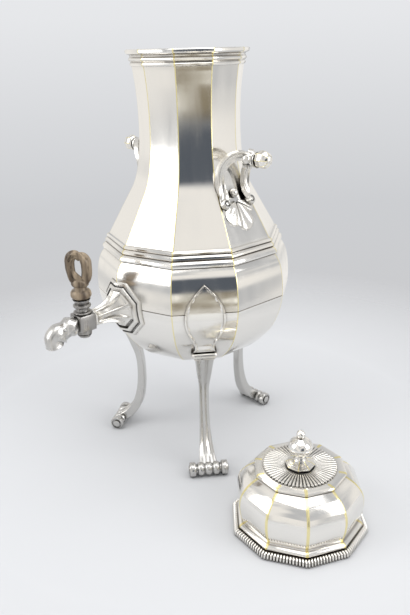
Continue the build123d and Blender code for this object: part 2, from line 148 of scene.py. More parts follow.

# %% [markdown]
# ### The wood
# The key is a waxed brown hardwood. Its grain is a noise drawn out along the key, from nearly black to tan,
# with a matching bump. Occlusion paints shade into the cuts of the carving, over a wider reach than the
# tarnish.

# %% Carved hardwood
wood, wood_shader = material("carved hardwood", (0.17, 0.09, 0.045), 0.0, 0.42)
wood_tree = wood.node_tree
grain = noise(wood_tree, 180, (1, 1, 0.16), 6.0)
grain_mix = spread(wood_tree, grain, 0.0, 1.0, 0.35, 0.68)
tint = blend(wood_tree, grain_mix, (0.075, 0.05, 0.03, 1), (0.40, 0.31, 0.21, 1))
# Painted shade: occlusion darkens the grain's colour in the cuts of the carving.
carving_shade = node(wood_tree, "ShaderNodeAmbientOcclusion", {"Distance": 0.009, "Color": tint}, samples=6)
feed(wood_tree, wood_shader.inputs["Base Color"], carving_shade.outputs["Color"])
bump(wood_tree, wood_shader, grain, 0.6, 0.0004)
print("wood nodes:", len(wood_tree.nodes))

# %% [markdown]
# ## Ways to make the pieces
# Nearly every piece is one of two things. Some are a profile turned round an axis: in many steps it is round,
# and in ten it has the body's flat sides, whose corners are then bevelled as if by wear. `spun` and `gored`
# make those. The others are a sheet or tube laid over a shape by a rule, which `laid` and `tube` make.

# %% Turned and faceted pieces
SIDES = 10
HALF = math.radians(180 / SIDES)


def smooth(points, steps=8):
    """Points along a soft curve through the given ones."""
    ends = [2 * Vector(points[0]) - Vector(points[1])] + [Vector(p) for p in points]
    ends.append(2 * Vector(points[-1]) - Vector(points[-2]))
    line = []
    for a, b, c, d in zip(ends, ends[1:], ends[2:], ends[3:]):
        for i in range(steps):
            t = i / steps
            line.append(0.5 * (2 * b + (c - a) * t + (2 * a - 5 * b + 4 * c - d) * t * t
                               + (3 * b - a - 3 * c + d) * t * t * t))
    return line + [Vector(points[-1])]


def spun(profile, steps, start=0.0, closed=False):
    """A (radius, height) profile turned round Z; in few steps it is faceted, with corners at the radius."""
    bm = bmesh.new()
    verts = [bm.verts.new((p[0] * math.cos(start), p[0] * math.sin(start), p[1])) for p in profile]
    edges = [bm.edges.new(pair) for pair in zip(verts, verts[1:])]
    if closed:
        edges.append(bm.edges.new((verts[-1], verts[0])))
    bmesh.ops.spin(bm, geom=verts + edges, cent=(0, 0, 0), axis=(0, 0, 1), angle=2 * math.pi, steps=steps,
                   use_merge=True)
    bmesh.ops.remove_doubles(bm, verts=bm.verts, dist=0.001)
    return bm


def gored(profile, width, sides=SIDES, start=0.0, closed=True):
    """A faceted piece from (flat, height) points, with a worn chamfer along each upright corner."""
    to_corner = 1 / math.cos(math.pi / sides)
    bm = spun([(p[0] * to_corner, p[1]) for p in profile], sides, start, closed)
    corners = []
    for edge in bm.edges:
        a, b = (v.co for v in edge.verts)
        upright = abs(math.atan2(a.y, a.x) - math.atan2(b.y, b.x)) < 1e-4
        if upright and a.xy.length > 3 and b.xy.length > 3 and len(edge.link_faces) == 2:
            corners.append(edge)
    bmesh.ops.bevel(bm, geom=corners, offset=width, segments=2, profile=0.5, affect="EDGES", material=1,
                    offset_type="OFFSET", clamp_overlap=True)
    return bm


print("one side of ten turns by", round(math.degrees(2 * HALF)), "degrees")

# %% [markdown]
# ### Sheets and tubes
# A grid gives the quads and a rule says where each of its points goes, for u across and v along. Points that
# meet are merged, so a sheet closes into a tube, and a tube's two ends are then filled. This is the quick way
# to flutes, lobes and ribs, since a rule can add a little relief to any shape that it can describe.

# %% Sheets and tubes
def laid(columns, rows, rule):
    """A sheet of quads laid over a shape: the rule gives the point for (u, v), both from 0 to 1."""
    bm = bmesh.new()
    bmesh.ops.create_grid(bm, x_segments=columns, y_segments=rows, size=0.5)
    for vert in bm.verts:
        vert.co = rule(vert.co.x + 0.5, vert.co.y + 0.5)
    bmesh.ops.remove_doubles(bm, verts=bm.verts, dist=0.001)
    return bm


def tube(columns, rows, rule):
    """A sheet that closes on itself, with its open ends filled."""
    bm = laid(columns, rows, rule)
    bmesh.ops.holes_fill(bm, edges=bm.edges[:])
    return bm


def between(value, low, high):
    """How far a value has come from low to high, eased at both ends."""
    t = min(max((value - low) / (high - low), 0.0), 1.0)
    return t * t * (3 - 2 * t)


def along(line, t):
    """The point a fraction of the way along a list of points."""
    where = min(max(t, 0.0), 1.0) * (len(line) - 1)
    i = min(int(where), len(line) - 2)
    return line[i].lerp(line[i + 1], where - i)


def sizes(values):
    """Sizes that change softly along a piece; each is the x of a point, for `along` to read."""
    return smooth([(value, 0) for value in values])


print("half way along a soft line of sizes 1, 3, 2:", round(along(sizes([1, 3, 2]), 0.5).x, 2))

# %% [markdown]
# ### Small shapes and the last step of each piece
# Whatever a piece is made of, its last step is the same: edges that turn sharply are kept sharp, the mesh is
# put in its place in metres, its faces are turned outwards, and it rides on its body in place of the plain
# solid that it stands for.

# %% Blocks, beads and the last step
MM = 0.001


def block(size, centre, bevel, segments=2):
    """A cube with its edges rounded over."""
    bm = bmesh.new()
    bmesh.ops.create_cube(bm, size=1)
    bmesh.ops.transform(bm, matrix=Matrix.Translation(centre) @ Matrix.Diagonal((*size, 1)), verts=bm.verts)
    bmesh.ops.bevel(bm, geom=bm.edges[:], offset=bevel, segments=segments, profile=0.5, affect="EDGES",
                    material=-1)
    return bm


def ball(radius, centre, around=32, rings=20):
    """A round bead."""
    bm = bmesh.new()
    bmesh.ops.create_uvsphere(bm, u_segments=around, v_segments=rings, radius=radius,
                              matrix=Matrix.Translation(centre))
    return bm


def joined(*parts):
    """Several pieces of one casting as one."""
    whole = parts[0]
    for part in parts[1:]:
        carrier = bpy.data.meshes.new("carrier")
        part.to_mesh(carrier)
        whole.from_mesh(carrier)
        part.free()
        bpy.data.meshes.remove(carrier)
    return whole


def moved(bm, matrix):
    """A piece put somewhere else."""
    bmesh.ops.transform(bm, matrix=matrix, verts=bm.verts)
    return bm


def turned_about(degrees):
    """A turn about the urn's axis."""
    return Matrix.Rotation(math.radians(degrees), 4, "Z")


def shaded(bm, crease):
    """Smooth faces, with sharp edges wherever the surface turns by more than the crease's degrees."""
    for face in bm.faces:
        face.smooth = True
    for edge in bm.edges:
        edge.smooth = not (len(edge.link_faces) == 2 and edge.calc_face_angle(0) > math.radians(crease))


def finished(bm, name, stands_for, body, finishes, crease, place=Matrix()):
    """The piece in metres and in its place, riding on its body instead of the plain solid."""
    shaded(bm, crease)
    moved(bm, Matrix.Diagonal((MM, MM, MM, 1)) @ place)
    bmesh.ops.recalc_face_normals(bm, faces=bm.faces)
    mesh = bpy.data.meshes.new(name.replace(" ", "_"))
    bm.to_mesh(mesh)
    bm.free()
    for finish in finishes:
        mesh.materials.append(finish)
    made = bpy.data.objects.new(mesh.name, mesh)
    bpy.context.scene.collection.objects.link(made)
    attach(made, body)
    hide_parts(stands_for)
    spans = [(max(side) - min(side)) / MM for side in zip(*made.bound_box)]
    print(made.name, "measures", " x ".join(f"{span:.1f}" for span in spans), "mm")


print("a metre is", round(1 / MM), "of the units used below")

# %% [markdown]
# ## The body
# A pot like this is raised from flat gores soldered edge to edge: a lower bowl, and above it a shell that
# narrows to the neck. One outline, from the neck's top down, serves both, and it says where the things that
# lie on the body go: `on_side` for the middle of a flat gore and `on_corner` for the corner between two.

# %% The body's outline
NECK_TOP, SHOULDER, BELLY_TOP, SEAM = (50.0, 389.0), (80.3, 234.5), (86.2, 219.0), (95.0, 177.0)
neck_line = smooth([NECK_TOP, (47.9, 370), (46.8, 345), (47.5, 318), (49.9, 299), (54.0, 284), (61.2, 270),
                    (70.4, 253), SHOULDER], 6)
belly_line = smooth([BELLY_TOP, (89.4, 214.4), (91.9, 209), (93.7, 201), (94.6, 193), (95.0, 185), SEAM], 4)
upper_line = neck_line + belly_line
lower_line = smooth([SEAM, (93.8, 168), (90.9, 157), (85.5, 144), (77.9, 133), (68.1, 122.6), (55.6, 113),
                     (36.0, 105.0)], 6)
body_line = upper_line + lower_line[1:]


def reach_at(line, height):
    """How far out an outline, listed from its top down, stands at a height."""
    for a, b in zip(line, line[1:]):
        if b.y <= height <= a.y:
            return a.x + (b.x - a.x) * (a.y - height) / max(a.y - b.y, 1e-6)
    return line[-1].x if height < line[-1].y else line[0].x


def on_side(height, across, out):
    """A point standing off the body's side that faces +X: up it, across it, and out from it."""
    return Vector((reach_at(body_line, height) + out, across, height))


def on_corner(height, across, out):
    """The same round the body's corner that faces +X."""
    corner = (reach_at(body_line, height) + out) / math.cos(HALF)
    return Vector((corner - abs(across) * math.tan(HALF), across, height))


print("body widest", round(2 * reach_at(body_line, 178), 1), "mm across its flats")

# %% [markdown]
# ### The shell and the bowl
# Only the outside of a wall is drawn. The inside is the same line moved in by the wall's thickness, so that
# the neck's mouth shows real metal. At the seam both pieces have a small turned edge, a tenth of a millimetre
# from the other's, which is how the soldered joint shows.

# %% Shell and bowl
WALL = 1.4
MOUTH = (51.8, 397.5)
SHELL_FOOT = [(95.0, 177.5), (94.4, 177.05)]
BOWL_BRIM = [(94.4, 176.95), (95.0, 176.5)]


def walled(line, thickness):
    """A closed section: an outline, and the same line moved in by the wall's thickness."""
    inner = []
    for i, p in enumerate(line):
        a, b = line[max(i - 1, 0)], line[min(i + 1, len(line) - 1)]
        t = (b - a).normalized()
        inner.append(Vector((p.x + thickness * t.y, p.y - thickness * t.x)))
    return list(line) + inner[::-1]


shell_line = [Vector(MOUTH)] + upper_line[:-1] + [Vector(p) for p in SHELL_FOOT]
bowl_line = [Vector(p) for p in BOWL_BRIM] + lower_line[1:]
for name, stands_for, line in (("body upper", "body_shell", shell_line),
                               ("body bowl", "lower_bowl", bowl_line)):
    gores = gored(walled(line, WALL), 0.55, start=HALF)
    finished(gores, name, stands_for, "urn", [silver, worn], 9)

# %% [markdown]
# ## Lip, band and base
# The neck ends in a rolled lip with two turned grooves under it, and the shoulder meets the belly under a
# band of three rounded beads. Both are drawn wire soldered on in straight lengths and mitred at each corner,
# which is what a section turned in ten flat steps gives. The base is a plain plate that closes the bowl.

# %% Mouldings
LIP = [(50.3, 390.8), (51.2, 391.0), (51.9, 391.7), (52.0, 392.8), (51.6, 393.7), (51.0, 394.3),
       (51.7, 394.9), (52.7, 395.7), (53.0, 396.7), (52.7, 397.7), (52.0, 398.4), (51.6, 399.1),
       (51.8, 400.2), (53.0, 400.9), (54.8, 401.6), (55.6, 402.7), (55.6, 404.5), (54.9, 405.3),
       (53.0, 405.5), (51.0, 405.3), (50.4, 404.6), (50.4, 397.5), (51.0, 397.3), (49.6, 391.0)]
BAND = [(80.4, 234.0), (82.2, 233.6), (83.3, 232.6), (83.4, 231.2), (82.5, 230.2),
        (83.6, 229.6), (84.9, 228.4), (85.2, 226.6), (84.2, 225.4),
        (85.6, 224.8), (87.5, 223.2), (88.2, 221.2), (87.6, 219.4), (86.4, 218.9), (82.0, 219.4)]
BASE = [(2, 103.2), (34.6, 103.2), (36, 104.0), (36, 105.0), (2, 105.0)]
for name, stands_for, section, chamfer in (("lip moulding", "lip_moulding", LIP, 0.7),
                                           ("band moulding", "band_moulding", BAND, 0.8),
                                           ("base plate", "base_plate", BASE, 0.4)):
    moulding = gored(section, chamfer, start=HALF)
    finished(moulding, name, stands_for, "urn", [silver, worn], 24)

# %% [markdown]
# ## Legs
# Each leg was cast and soldered on. Its top is a pointed shield with a raised rim, lying on the bowl. The
# shield is a sheet laid on the body: an outline gives its width at each height, and the rule lifts it where
# the rim runs, so it bends with the gore, or round the corner, that it lies on.

# %% Shields
SHIELD_TOP, SHIELD_FOOT = 205.0, 131.4
SHIELD_RIM, SHIELD_SHEET = 2.0, 0.5
shield_line = smooth([(0.0, SHIELD_TOP), (3.4, 202.0), (11.0, 194.0), (17.2, 183.5), (19.5, 172.0),
                      (18.0, 160.5), (14.2, 150.5), (10.6, 142.5), (9.5, 137.0), (10.4, 133.4),
                      (11.5, SHIELD_FOOT)])


def shield_on(surface):
    """The rule for a shield on a surface: thin in the middle, with a raised rim and a thicker foot."""
    def rule(u, v):
        height = SHIELD_FOOT + (SHIELD_TOP - SHIELD_FOOT) * (1 - (1 - v) ** 1.3)
        half = reach_at(shield_line, height)
        side = -math.cos(math.pi * u)
        inside = half * (1 - abs(side))
        if inside < 0.02 or v < 0.001:
            return surface(height, half * side, 0.0)
        rim = between(inside, 0.0, 0.4) * (1 - between(inside, 2.1, 2.6))
        foot = 2.4 * (1 - between(v, 0.02, 0.13))
        out = SHIELD_SHEET + SHIELD_RIM * max(rim, 1 - between(v, 0.0, 0.1)) + foot
        return surface(height, half * side, out)
    return rule


print("shield is", round(2 * max(p.x for p in shield_line), 1), "mm wide")

# %% [markdown]
# ### Collars and shafts
# Under the shield stands a small rounded block on a thinner one. From there a fluted shaft bows in and out
# again. A curve for its outer side, one for its inner side and a list of widths give its section anywhere,
# and the rule squares that section a little and cuts two flutes into its front.

# %% Collars and shafts
outer_side = smooth([(81.5, 123.6), (74.0, 104), (69.2, 88), (68.0, 72), (69.6, 50), (74.6, 32), (83.0, 20),
                     (92.0, 13.5)])
inner_side = smooth([(70.6, 123.6), (65.6, 104), (61.6, 88), (60.2, 72), (60.8, 50), (65.6, 28), (75.6, 13),
                     (88.0, 4.0)])
shaft_widths = sizes([9.0, 7.0, 5.0, 4.6, 4.8, 6.0, 7.6, 9.0])


def shaft_rule(u, v):
    """A point on the shaft: round its section with u, down its length with v."""
    outer, inner, half = along(outer_side, v), along(inner_side, v), along(shaft_widths, v).x
    turn = 2 * math.pi * u
    across = max(-1.0, min(1.0, 1.25 * math.sin(turn)))
    front = math.cos(turn) > 0
    flute = 0.13 * math.sin(math.pi * min(abs(across) * 1.1, 1.0)) ** 2 if front else 0.0
    depth = max(-1.0, min(1.0, 1.35 * math.cos(turn))) * 0.5 + 0.5
    spot = inner.lerp(outer, depth - flute)
    return Vector((spot.x, half * across, spot.y))


def leg_collar():
    """The rounded block under a shield, and the thinner one under that."""
    upper = block((12.9, 25.2, 6.4), (77.5, 0, 128.3), 2.9, 6)
    lower = block((10.8, 20.4, 2.0), (76.8, 0, 124.8), 0.8, 3)
    return joined(upper, lower)


print("shaft is", round(outer_side[0].y - inner_side[-1].y, 1), "mm tall")

# %% [markdown]
# ### Rollers
# The foot is a bobbin lying across the leg, with three beads between ringed ends. It is plain turned work:
# half of a profile, mirrored, spun, and laid on its side. It looks like a wheel but is soldered fast.

# %% Rollers
ROLLER_RADIUS = 7.45
ROLLER_REACH = 92.0
HALF_ROLLER = [(6.9, 0), (6.7, 1.6), (5.9, 3.0), (5.1, 3.8), (5.2, 4.3), (6.2, 5.0), (6.9, 6.4), (7.1, 7.8),
               (6.9, 9.2), (6.1, 10.6), (5.1, 11.4), (5.0, 12.6), (6.9, 13.2), (ROLLER_RADIUS, 14.4),
               (ROLLER_RADIUS, 18.0), (6.8, 19.2), (5.6, 19.2), (5.3, 18.5), (3.9, 18.5), (3.6, 20.0),
               (2.2, 20.5), (0, 20.5)]
roller_profile = [(radius, -out) for radius, out in HALF_ROLLER[::-1]] + HALF_ROLLER[1:]
roller_place = Matrix.Translation((ROLLER_REACH, 0, ROLLER_RADIUS)) @ Matrix.Rotation(math.pi / 2, 4, "X")
print("roller is", 2 * roller_profile[-1][1], "mm long")

# %% [markdown]
# ### The three legs
# Two legs stand under the middles of flat gores. Three legs a third of a turn apart can't all do that on a
# body of ten sides, so the back one stands under a corner, and its shield is laid round that corner.

# %% Legs
LEG_TURNS = {"left": -144.0, "right": -36.0, "back": 90.0}
for leg, angle in LEG_TURNS.items():
    surface = on_corner if leg == "back" else on_side
    # Shafts and rollers take the darker cast metal, whose lower tone is painted shade.
    for name, stands_for, bm, finish, crease in (
            ("shield", "plate", laid(36, 60, shield_on(surface)), silver, 38),
            ("collar", "collar", leg_collar(), ornament, 40),
            ("shaft", "shaft", tube(40, 64, shaft_rule), cast, 42),
            ("roller", "roller", moved(spun(roller_profile, 48), roller_place), cast, 30)):
        finished(bm, f"leg {name} {leg}", f"leg_{stands_for}_{leg}", "urn", [finish], crease,
                 turned_about(angle))

# %% [markdown]
# ## Side handles
# A handle is a lyre of two moulded straps. They start in scrolls on a shell, part round a small rivet, and
# close over the top. Each strap is a grooved section carried along a curve, and the far one is the near one
# mirrored. The scroll at its foot is a turned drum with a raised eye.

# %% Straps and scrolls
STRAP_HALF_WIDTH, STRAP_HALF_THICKNESS = 4.3, 2.4
strap_line = smooth([(67.0, 13.6, 268.0), (64.4, 16.0, 271.0), (60.8, 15.0, 278.0), (57.9, 16.0, 286.5),
                     (58.6, 16.9, 297.5), (63.6, 15.8, 307.4), (70.2, 11.0, 313.8), (76.0, 4.6, 314.4),
                     (77.8, 1.6, 308.6), (76.6, 1.2, 303.6)])


def strap_on(sign):
    """The rule for the strap on one side: round its section with u, along it with v."""
    def rule(u, v):
        spot = along(strap_line, v)
        ahead = (along(strap_line, v + 0.02) - along(strap_line, v - 0.02)).normalized()
        from_middle = Vector((0.25 * (v > 0.7), spot.y, spot.z - 294)).normalized()
        wide = (from_middle - ahead * from_middle.dot(ahead)).normalized()
        thick = ahead.cross(wide)
        turn = 2 * math.pi * u
        across = max(-1.0, min(1.0, 1.3 * math.sin(turn)))
        half = STRAP_HALF_WIDTH - 0.9 * between(v, 0.75, 1.0) - 0.8 * (1 - between(v, 0.0, 0.12))
        over = math.copysign(min(abs(1.6 * math.cos(turn)), 1.0), math.cos(turn))
        groove = 1.0 - 0.62 * (1 - between(abs(across), 0.38, 0.62))
        point = spot + wide * half * across + thick * STRAP_HALF_THICKNESS * over * groove
        return Vector((point.x, sign * point.y, point.z))
    return rule


def scroll(sign):
    """The coiled foot of a strap: a drum with a raised eye."""
    drum = spun([(0, -2.6), (4.0, -2.6), (4.6, -2.0), (4.6, 2.0), (4.0, 2.6), (3.1, 2.6), (2.9, 1.8),
                 (2.0, 1.8), (1.7, 3.0), (0, 3.3)], 28)
    return moved(drum, Matrix.Translation((65.0, sign * 16.0, 270.6)) @ Matrix.Rotation(1.05, 4, "Y"))


print("straps rise to", round(max(p.z for p in strap_line), 1), "mm above the table")

# %% [markdown]
# ### The shell
# A fan of two and a half broad lobes, creased down their crests, lies on the shoulder. It could be made of
# petals joined up, but one fan-shaped sheet is simpler: the angle says how long the sheet is and how deep its
# grooves are, and it comes down to the body all round its edge.

# %% Handle shell
PALM_LEVEL = 271.5
FAN = math.radians(84)
LOBES = 2.5


def palm_rule(u, v):
    """A point on the shell: across the fan with u, outwards with v."""
    fan = FAN * (2 * u - 1)
    lobe = abs(math.sin(LOBES * math.pi * u))
    length = (27.5 - 7.5 * (abs(fan) / FAN) ** 1.5) * (0.78 + 0.22 * lobe ** 0.6)
    reach = length * (0.10 + 0.90 * v)
    swell = math.sin(math.pi * min(v * 0.93 + 0.07, 1.0)) ** 0.5
    crease = 0.28 * between(lobe, 0.86, 1.0) * between(v, 0.15, 0.5)
    out = 0.1 + 3.1 * swell * (0.30 + 0.70 * between(lobe, 0.15, 0.60) - crease)
    if v >= 0.999 or u <= 0 or u >= 1:
        out = 0.0
    return on_side(PALM_LEVEL - reach * math.cos(fan), reach * math.sin(fan), out)


print("shell fans over", round(2 * math.degrees(FAN)), "degrees")

# %% [markdown]
# ### Bridge, collar and knob
# Where the straps meet, a turned bridge joins them and carries a ringed collar and the knob that the fingers
# hold. All three are spun about Z and then laid along the handle's axis, which points straight out. The knob
# is spun in eight steps, and its corners are worn like the body's.

# %% Bridge, collar and knob
HANDLE_LEVEL = 311.5
BRIDGE = [(0, -2.6), (3.2, -2.6), (5.4, -1.2), (6.6, 1.4), (6.2, 4.6), (4.6, 6.4), (4.2, 7.2), (0, 7.2)]
COLLAR = [(0, 0), (4.4, 0), (4.2, 1.6), (5.0, 2.4), (6.4, 3.0), (6.9, 4.2), (6.4, 5.2), (5.0, 5.5),
          (5.0, 6.1), (6.8, 6.4), (7.4, 7.2), (7.2, 7.9), (0, 8.0)]
KNOB_FOOT, KNOB_END = 90.0, 14.7
barrel = smooth([(5.4, 0), (6.8, 1.8), (7.4, 5.0), (6.9, 9.0), (5.0, 12.2), (2.6, 14.2), (0, KNOB_END)], 4)
knob_profile = [(0, 0)] + barrel[:-1] + [(0, KNOB_END)]


def outward(bm, height, out):
    """A piece turned about Z, laid along the handle's axis, which points outwards."""
    return moved(bm, Matrix.Translation((out, 0, height)) @ Matrix.Rotation(math.pi / 2, 4, "Y"))


def handle_knob():
    """The faceted knob on the end of a handle."""
    return outward(gored(knob_profile, 0.35, 8, closed=False), HANDLE_LEVEL + 0.9, KNOB_FOOT)


print("handle knobs reach", round(KNOB_FOOT + KNOB_END, 1), "mm from the axis")

# %% [markdown]
# ### The two handles
# The same seven pieces are made for each side, and the left set is given half a turn about the urn's axis. A
# plain bead stands for the rivet.

# %% Handles
HANDLE_TURNS = {"left": 180.0, "right": 0.0}
for side, angle in HANDLE_TURNS.items():
    for name, bm, finishes, crease in (
            ("strap ccw", joined(tube(32, 90, strap_on(1)), scroll(1)), [ornament], 36),
            ("strap cw", joined(tube(32, 90, strap_on(-1)), scroll(-1)), [ornament], 36),
            ("shell", laid(110, 26, palm_rule), [ornament], 50),
            ("rivet", ball(4.0, (59.4, 0, 278.6)), [ornament], 40),
            ("bridge", outward(spun(BRIDGE, 36), HANDLE_LEVEL - 0.1, 75.0), [ornament], 40),
            ("collar", outward(spun(COLLAR, 40), HANDLE_LEVEL, 82.0), [ornament], 30),
            ("knob", handle_knob(), [silver, worn], 12)):
        full_name = f"handle {name} {side}"
        finished(bm, full_name, full_name.replace(" ", "_"), "urn", finishes, crease,
                 turned_about(angle))

# %% [markdown]
# ## Tap
# The tap stands on an upright corner of the belly. Its rose is a stepped octagon bent round that corner, and
# from it an eight-sided fluted horn narrows to a small square block. Both are sheets laid by a rule, since
# they have to follow the corner at one end and be regular at the other.

# %% Rose and horn
FRONT = turned_about(-90.0)
HORN_FOOT_LEVEL = 173.8
ROSE_FLAT, HORN_FLAT, HORN_NECK = 27.4, 18.6, 7.4
HORN_END = 129.4
ROSE_STEPS = [(0.50, 3.6), (0.61, 3.2), (0.64, 1.4), (0.70, 1.2), (0.725, 3.7), (0.80, 4.0), (0.835, 2.9),
              (0.855, 1.0), (0.895, 0.8), (0.915, 2.3), (0.975, 2.1), (1.0, 1.2), (1.0, 0.0)]
rose_section = [Vector(p) for p in ROSE_STEPS]


def eighth(turn):
    """How far an octagon's edge lies out, for a flat-to-middle size of one."""
    return 1 / math.cos((turn + math.pi / 8) % (math.pi / 4) - math.pi / 8)


def rose_rule(u, v):
    """The stepped rose, laid round the body's corner; v runs from its middle to its edge."""
    turn = 2 * math.pi * u
    spot = along(rose_section, v)
    reach = ROSE_FLAT * spot.x * eighth(turn)
    return on_corner(HORN_FOOT_LEVEL + reach * math.cos(turn), reach * math.sin(turn), spot.y)


def horn_rule(u, v):
    """The fluted horn, from the rose to the block."""
    turn = 2 * math.pi * u
    foot_reach = HORN_FLAT * eighth(turn)
    foot = on_corner(HORN_FOOT_LEVEL + foot_reach * math.cos(turn), foot_reach * math.sin(turn), 2.0)
    middle = Vector((foot.x + (HORN_END - foot.x) * v, 0, HORN_FOOT_LEVEL + 1.0 - 2.2 * v))
    reach = HORN_NECK + (HORN_FLAT - HORN_NECK) * (1 - v) ** 2.6
    in_panel = between(1 - abs(math.cos(4 * turn)), 0.42, 0.8)
    depth = 0.32 * math.sin(math.pi * min(max((v - 0.05) / 0.86, 0), 1)) ** 0.7
    ring = 1 + 0.10 * between(v, 0.90, 0.93)
    reach *= eighth(turn) * (1 - depth * (1 - in_panel)) * ring
    return middle + Vector((0, reach * math.sin(turn), reach * math.cos(turn)))


rose, horn = laid(96, 48, rose_rule), laid(192, 48, horn_rule)
finished(rose, "tap rose", "tap_rose", "urn", [ornament], 28, FRONT)
finished(horn, "tap horn", "tap_trumpet", "urn", [ornament], 34, FRONT)

# %% [markdown]
# ### Block
# The block holds the plug, so it stands on the key's turning axis, which the frame gives. It is a cube with
# softened edges, and a turned ring above and below shows where the plug goes through it.

# %% Block
key_joint = next(joint for joint in frame["joints"] if joint["name"] == "key_turn")
PLUG_REACH, TAP_LEVEL = round(-key_joint["pos_m"][1] / MM, 3), round(key_joint["pos_m"][2] / MM, 3)
upper_ring = spun([(0, 180.2), (8.0, 180.2), (8.0, 180.45), (6.6, 180.5)], 40)
lower_ring = spun([(6.9, 164.9), (6.9, 161.0), (6.4, 160.5), (5.6, 160.5)], 40)
rings = moved(joined(upper_ring, lower_ring), Matrix.Translation((PLUG_REACH, 0, 0)))
cube = joined(block((17.3, 17.3, 15.8), (PLUG_REACH, 0, TAP_LEVEL), 1.1), rings)
finished(cube, "tap block", "tap_block", "urn", [grey_metal], 32, FRONT)

# %% [markdown]
# ### Spout
# The spout is cast as the head of a sea beast whose open mouth pours. A head could be sculpted by hand, but
# at this size a few marks carry it: a leafy neck with a crest, a heavy brow over each eye, a pinched jaw and
# a lip. Each is a small swelling at its own place on a tube, and the tube turns inwards at the mouth.

# %% Spout
MOUTH_START = 0.88
spine = smooth([(146.5, 0, 173.1), (152.8, 0, 171.8), (159.4, 0, 170.2), (165.2, 0, 168.2), (169.4, 0, 165.0),
                (170.6, 0, 161.0), (170.0, 0, 157.2)], 6)
girth = smooth([(7.1, 6.6), (9.2, 7.6), (8.2, 6.6), (9.4, 7.8), (9.0, 7.7), (7.8, 7.0), (7.0, 7.4)], 6)


def hump(value, middle, width):
    """A soft swelling, one at its middle and nothing well away from it."""
    return math.exp(-((value - middle) / width) ** 2)


def relief(turn, reach):
    """How far the head's marks stand out, round it by a turn and a fraction of the way to its mouth."""
    top, side = math.cos(turn), abs(math.sin(turn))
    crest = 1.5 * max(0.0, top) ** 3 * abs(math.sin(13 * reach)) * (1 - between(reach, 0.36, 0.46))
    leaf = 0.9 * abs(math.sin(3 * turn + 9 * reach)) * (1 - between(reach, 0.25, 0.42))
    brow = 1.5 * hump(reach, 0.50, 0.05) * hump(side, 0.62, 0.28) * (top > -0.2)
    jaw = -0.9 * hump(reach, 0.72, 0.10) * hump(side, 0.95, 0.12)
    lip = 0.7 * hump(reach, 0.97, 0.035)
    return crest + brow + jaw + lip - leaf


def spout_rule(u, v):
    """The beast's head round its spine; past its lips the surface turns back into its mouth."""
    turn = 2 * math.pi * u
    if v > MOUTH_START:
        inside = (v - MOUTH_START) / (1 - MOUTH_START)
        spot, size = along(spine, 1.0 - 0.45 * inside), Vector((5.2 - 1.4 * inside, 5.4 - 1.6 * inside))
        ahead = (along(spine, 1.0 - 0.40 * inside) - along(spine, 0.9 - 0.40 * inside)).normalized()
        more = 0.0
    else:
        reach = v / MOUTH_START
        spot, size = along(spine, reach), along(girth, reach)
        ahead = (along(spine, reach + 0.04) - along(spine, reach - 0.04)).normalized()
        more = relief(turn, reach)
    up = ahead.cross(Vector((0, -1, 0))).normalized()
    high = math.copysign(abs(math.cos(turn)) ** 0.8, math.cos(turn))
    wide = math.copysign(abs(math.sin(turn)) ** 0.8, math.sin(turn))
    point = spot + up * (size.x + more) * high
    point.y += (size.y + more) * wide
    return point


eyes = [ball(1.5, (161.8, across, 172.4), 16, 10) for across in (6.9, -6.9)]
head = joined(laid(72, 120, spout_rule), *eyes)
# The spout takes the darker cast metal, whose lower tone is painted shade.
finished(head, "tap spout", "tap_spout", "urn", [cast], 48, FRONT)

# %% [markdown]
# ## Plug
# A tapered plug turns upright in the block and is kept down by a washer and a nut. On top it carries two
# ringed collars. All four are plain turned work, spun from their profiles and stood on the plug's axis.

# %% Plug, collars, washer and nut
PLUG = [(0, 156.6), (3.4, 156.6), (3.4, 160.2), (5.5, 160.3), (6.4, 180.7), (5.4, 180.8), (5.4, 194.4),
        (2.4, 194.5), (2.4, 206), (0, 206)]
RINGS = [(5.4, 180.8), (7.6, 180.8), (8.4, 181.5), (8.4, 182.4), (7.6, 183.0), (6.4, 183.4), (6.0, 184.8),
         (6.4, 186.2), (7.6, 186.8), (8.3, 187.8), (8.2, 189.0), (7.2, 189.8), (6.2, 190.2), (6.6, 191.6),
         (7.8, 193.6), (8.2, 194.4), (5.4, 194.5)]
WASHER = [(3.4, 159.2), (6.0, 159.2), (6.6, 159.5), (6.6, 159.9), (6.2, 160.2), (3.4, 160.2)]
NUT = [(3.4, 157.0), (4.2, 157.0), (5.2, 157.5), (5.6, 158.3), (5.6, 159.2), (3.4, 159.2)]
plug_place = Matrix.Translation((0, -PLUG_REACH, 0))
for name, slot, bm, crease in (("plug", "tap_metal", spun(PLUG, 40), 30),
                               ("plug collar", "silver", spun(RINGS, 48), 34),
                               ("plug washer", "tap_metal", spun(WASHER, 40, closed=True), 34),
                               ("plug nut", "tap_metal", spun(NUT, 40, closed=True), 34)):
    finished(moved(bm, plug_place), name, name.replace(" ", "_"), "key", [grey_metal], crease)

# %% [markdown]
# ## Key
# The key is wood because the tap gets hot. Over a turned bulb it is carved into leaf stems that part and meet
# again, which leaves a slot for a finger and thumb. Each stem is a tube along its own curve with shallow
# flutes that wind a little, flattened where the blank of wood ended. The key is turned to face the camera.

